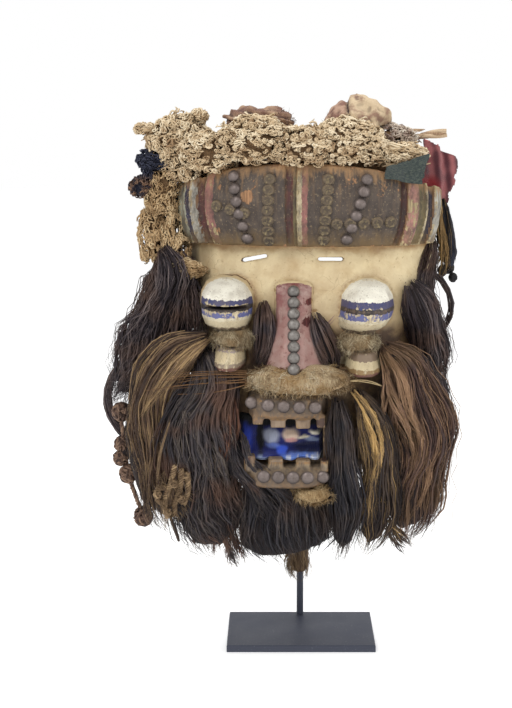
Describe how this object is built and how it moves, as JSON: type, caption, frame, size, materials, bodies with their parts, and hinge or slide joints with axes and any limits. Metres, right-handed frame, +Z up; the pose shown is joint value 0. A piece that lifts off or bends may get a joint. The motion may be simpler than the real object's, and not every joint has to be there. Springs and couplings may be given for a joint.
{
  "type": "guere mask on a stand",
  "caption": "Carved and painted wooden face mask with domed eyes, open toothed mouth, tacked forehead band, long hair, beard and a crown of curled yarn, upright on a rod and flat plate stand.",
  "frame": {"origin": "middle of the underside of the stand's plate", "axes": "+Z up along the stand's rod, -Y out of the mask's face, +X at the right hand of someone who looks at the face"},
  "size_m": [0.3003, 0.1275, 0.4659],
  "materials": {
    "steel": "dark grey satin paint",
    "wood": "carved, painted with kaolin, pink, maroon, navy and blue, worn",
    "tack": "tarnished, dull",
    "fur": "matted fur",
    "dark_hair": "coarse hair",
    "brown_hair": "coarse hair",
    "red_hair": "coarse hair",
    "black_hair": "coarse hair",
    "yarn": "curled undyed yarn",
    "hide": "worn hide",
    "blue_cloth": "cotton cloth",
    "green_cloth": "knitted cloth",
    "red_cloth": "torn cotton cloth",
    "brown_cloth": "cotton cloth"
  },
  "bodies": {
    "root": {"mask": "wood", "stand_plate": "steel", "stand_rod": "steel", "nose_tack_1": "tack", "nose_tack_2": "tack", "nose_tack_3": "tack", "nose_tack_4": "tack", "nose_tack_5": "tack", "nose_tack_6": "tack", "nose_tack_7": "tack", "nose_tack_8": "tack", "upper_lip_tack_1": "tack", "upper_lip_tack_2": "tack", "upper_lip_tack_3": "tack", "upper_lip_tack_4": "tack", "upper_lip_tack_5": "tack", "lower_lip_tack_1": "tack", "lower_lip_tack_2": "tack", "lower_lip_tack_3": "tack", "lower_lip_tack_4": "tack", "lower_lip_tack_5": "tack", "left_eye_fur": "fur", "right_eye_fur": "fur", "moustache_fur": "fur", "chin_fur": "fur", "raffia_twist": "yarn", "left_brown_lock": "brown_hair", "left_jaw_hair": "dark_hair", "nose_hair_left": "dark_hair", "nose_hair_right": "dark_hair", "right_black_lock": "black_hair", "right_golden_lock": "brown_hair", "right_brown_lock": "red_hair", "left_temple_hair": "dark_hair", "right_temple_hair": "dark_hair", "left_side_hair": "dark_hair", "right_side_hair": "dark_hair", "beard": "black_hair", "rod_tuft": "yarn", "left_loop_strand": "dark_hair", "right_loop_strand": "dark_hair", "left_knots": "brown_hair", "mouth_cloth": "blue_cloth", "green_cloth": "green_cloth", "red_cloth": "red_cloth", "yarn_mid": "yarn", "yarn_mid_left": "yarn", "yarn_right": "yarn", "yarn_left": "yarn", "yarn_left_end": "yarn", "cord_cluster": "yarn", "fleece_tuft": "fur", "brown_cloth_bundle": "brown_cloth", "hide_bundle": "hide", "yarn_left_upper": "yarn", "yarn_left_lower": "yarn", "left_black_tuft": "black_hair", "leather_strip": "hide", "right_side_strips": "black_hair"}
  },
  "joints": []
}
